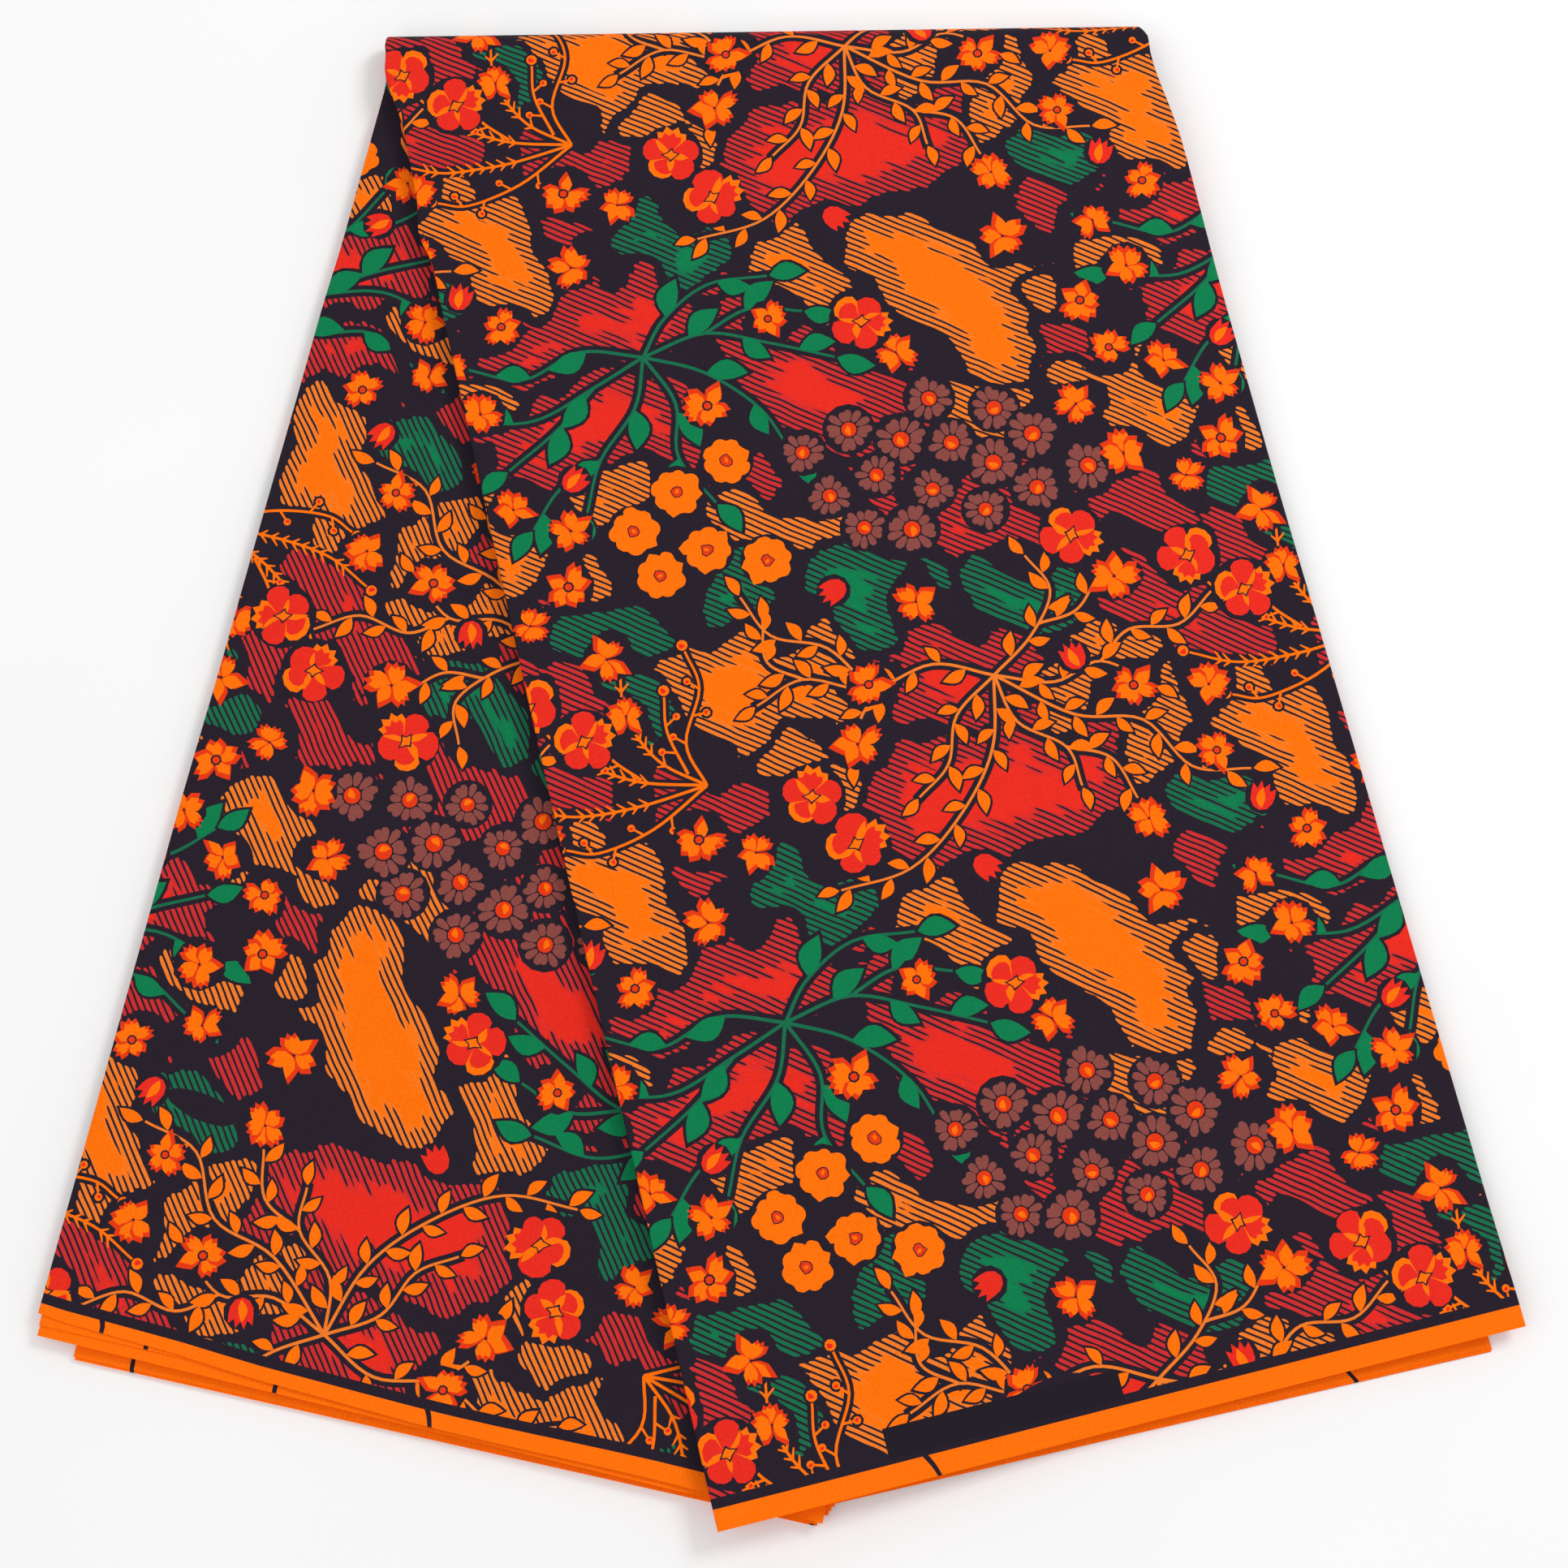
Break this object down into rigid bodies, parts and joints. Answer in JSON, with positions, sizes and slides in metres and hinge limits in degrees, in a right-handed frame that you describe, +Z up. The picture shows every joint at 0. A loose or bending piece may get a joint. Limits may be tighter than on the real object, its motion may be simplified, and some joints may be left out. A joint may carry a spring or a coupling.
{
  "type": "folded ankara fabric",
  "caption": "Length of wax printed cotton folded to and fro, doubled over at the top and fanned into two crossing wings that lie flat.",
  "frame": {"origin": "on the surface that the cloth lies on, under the middle of its box", "axes": "+Z up from the surface, +Y from the selvedges towards the doubling fold, +X across the wings, to the right as seen from above with the fold at the top"},
  "size_m": [0.5498, 0.5982, 0.0137],
  "materials": {
    "printed_cotton": "matte waxed cotton with a flower print",
    "folded_layers": "matte waxed cotton, layered edges",
    "lower_leaf": "matte waxed cotton, orange selvedge"
  },
  "bodies": {
    "root": {"right_wing_sheet": "printed_cotton", "right_wing_hidden_layers": "folded_layers", "right_wing_lower_leaf": "lower_leaf", "left_wing_sheet": "printed_cotton", "left_wing_hidden_layers": "folded_layers", "left_wing_lower_leaf": "lower_leaf"}
  },
  "joints": []
}
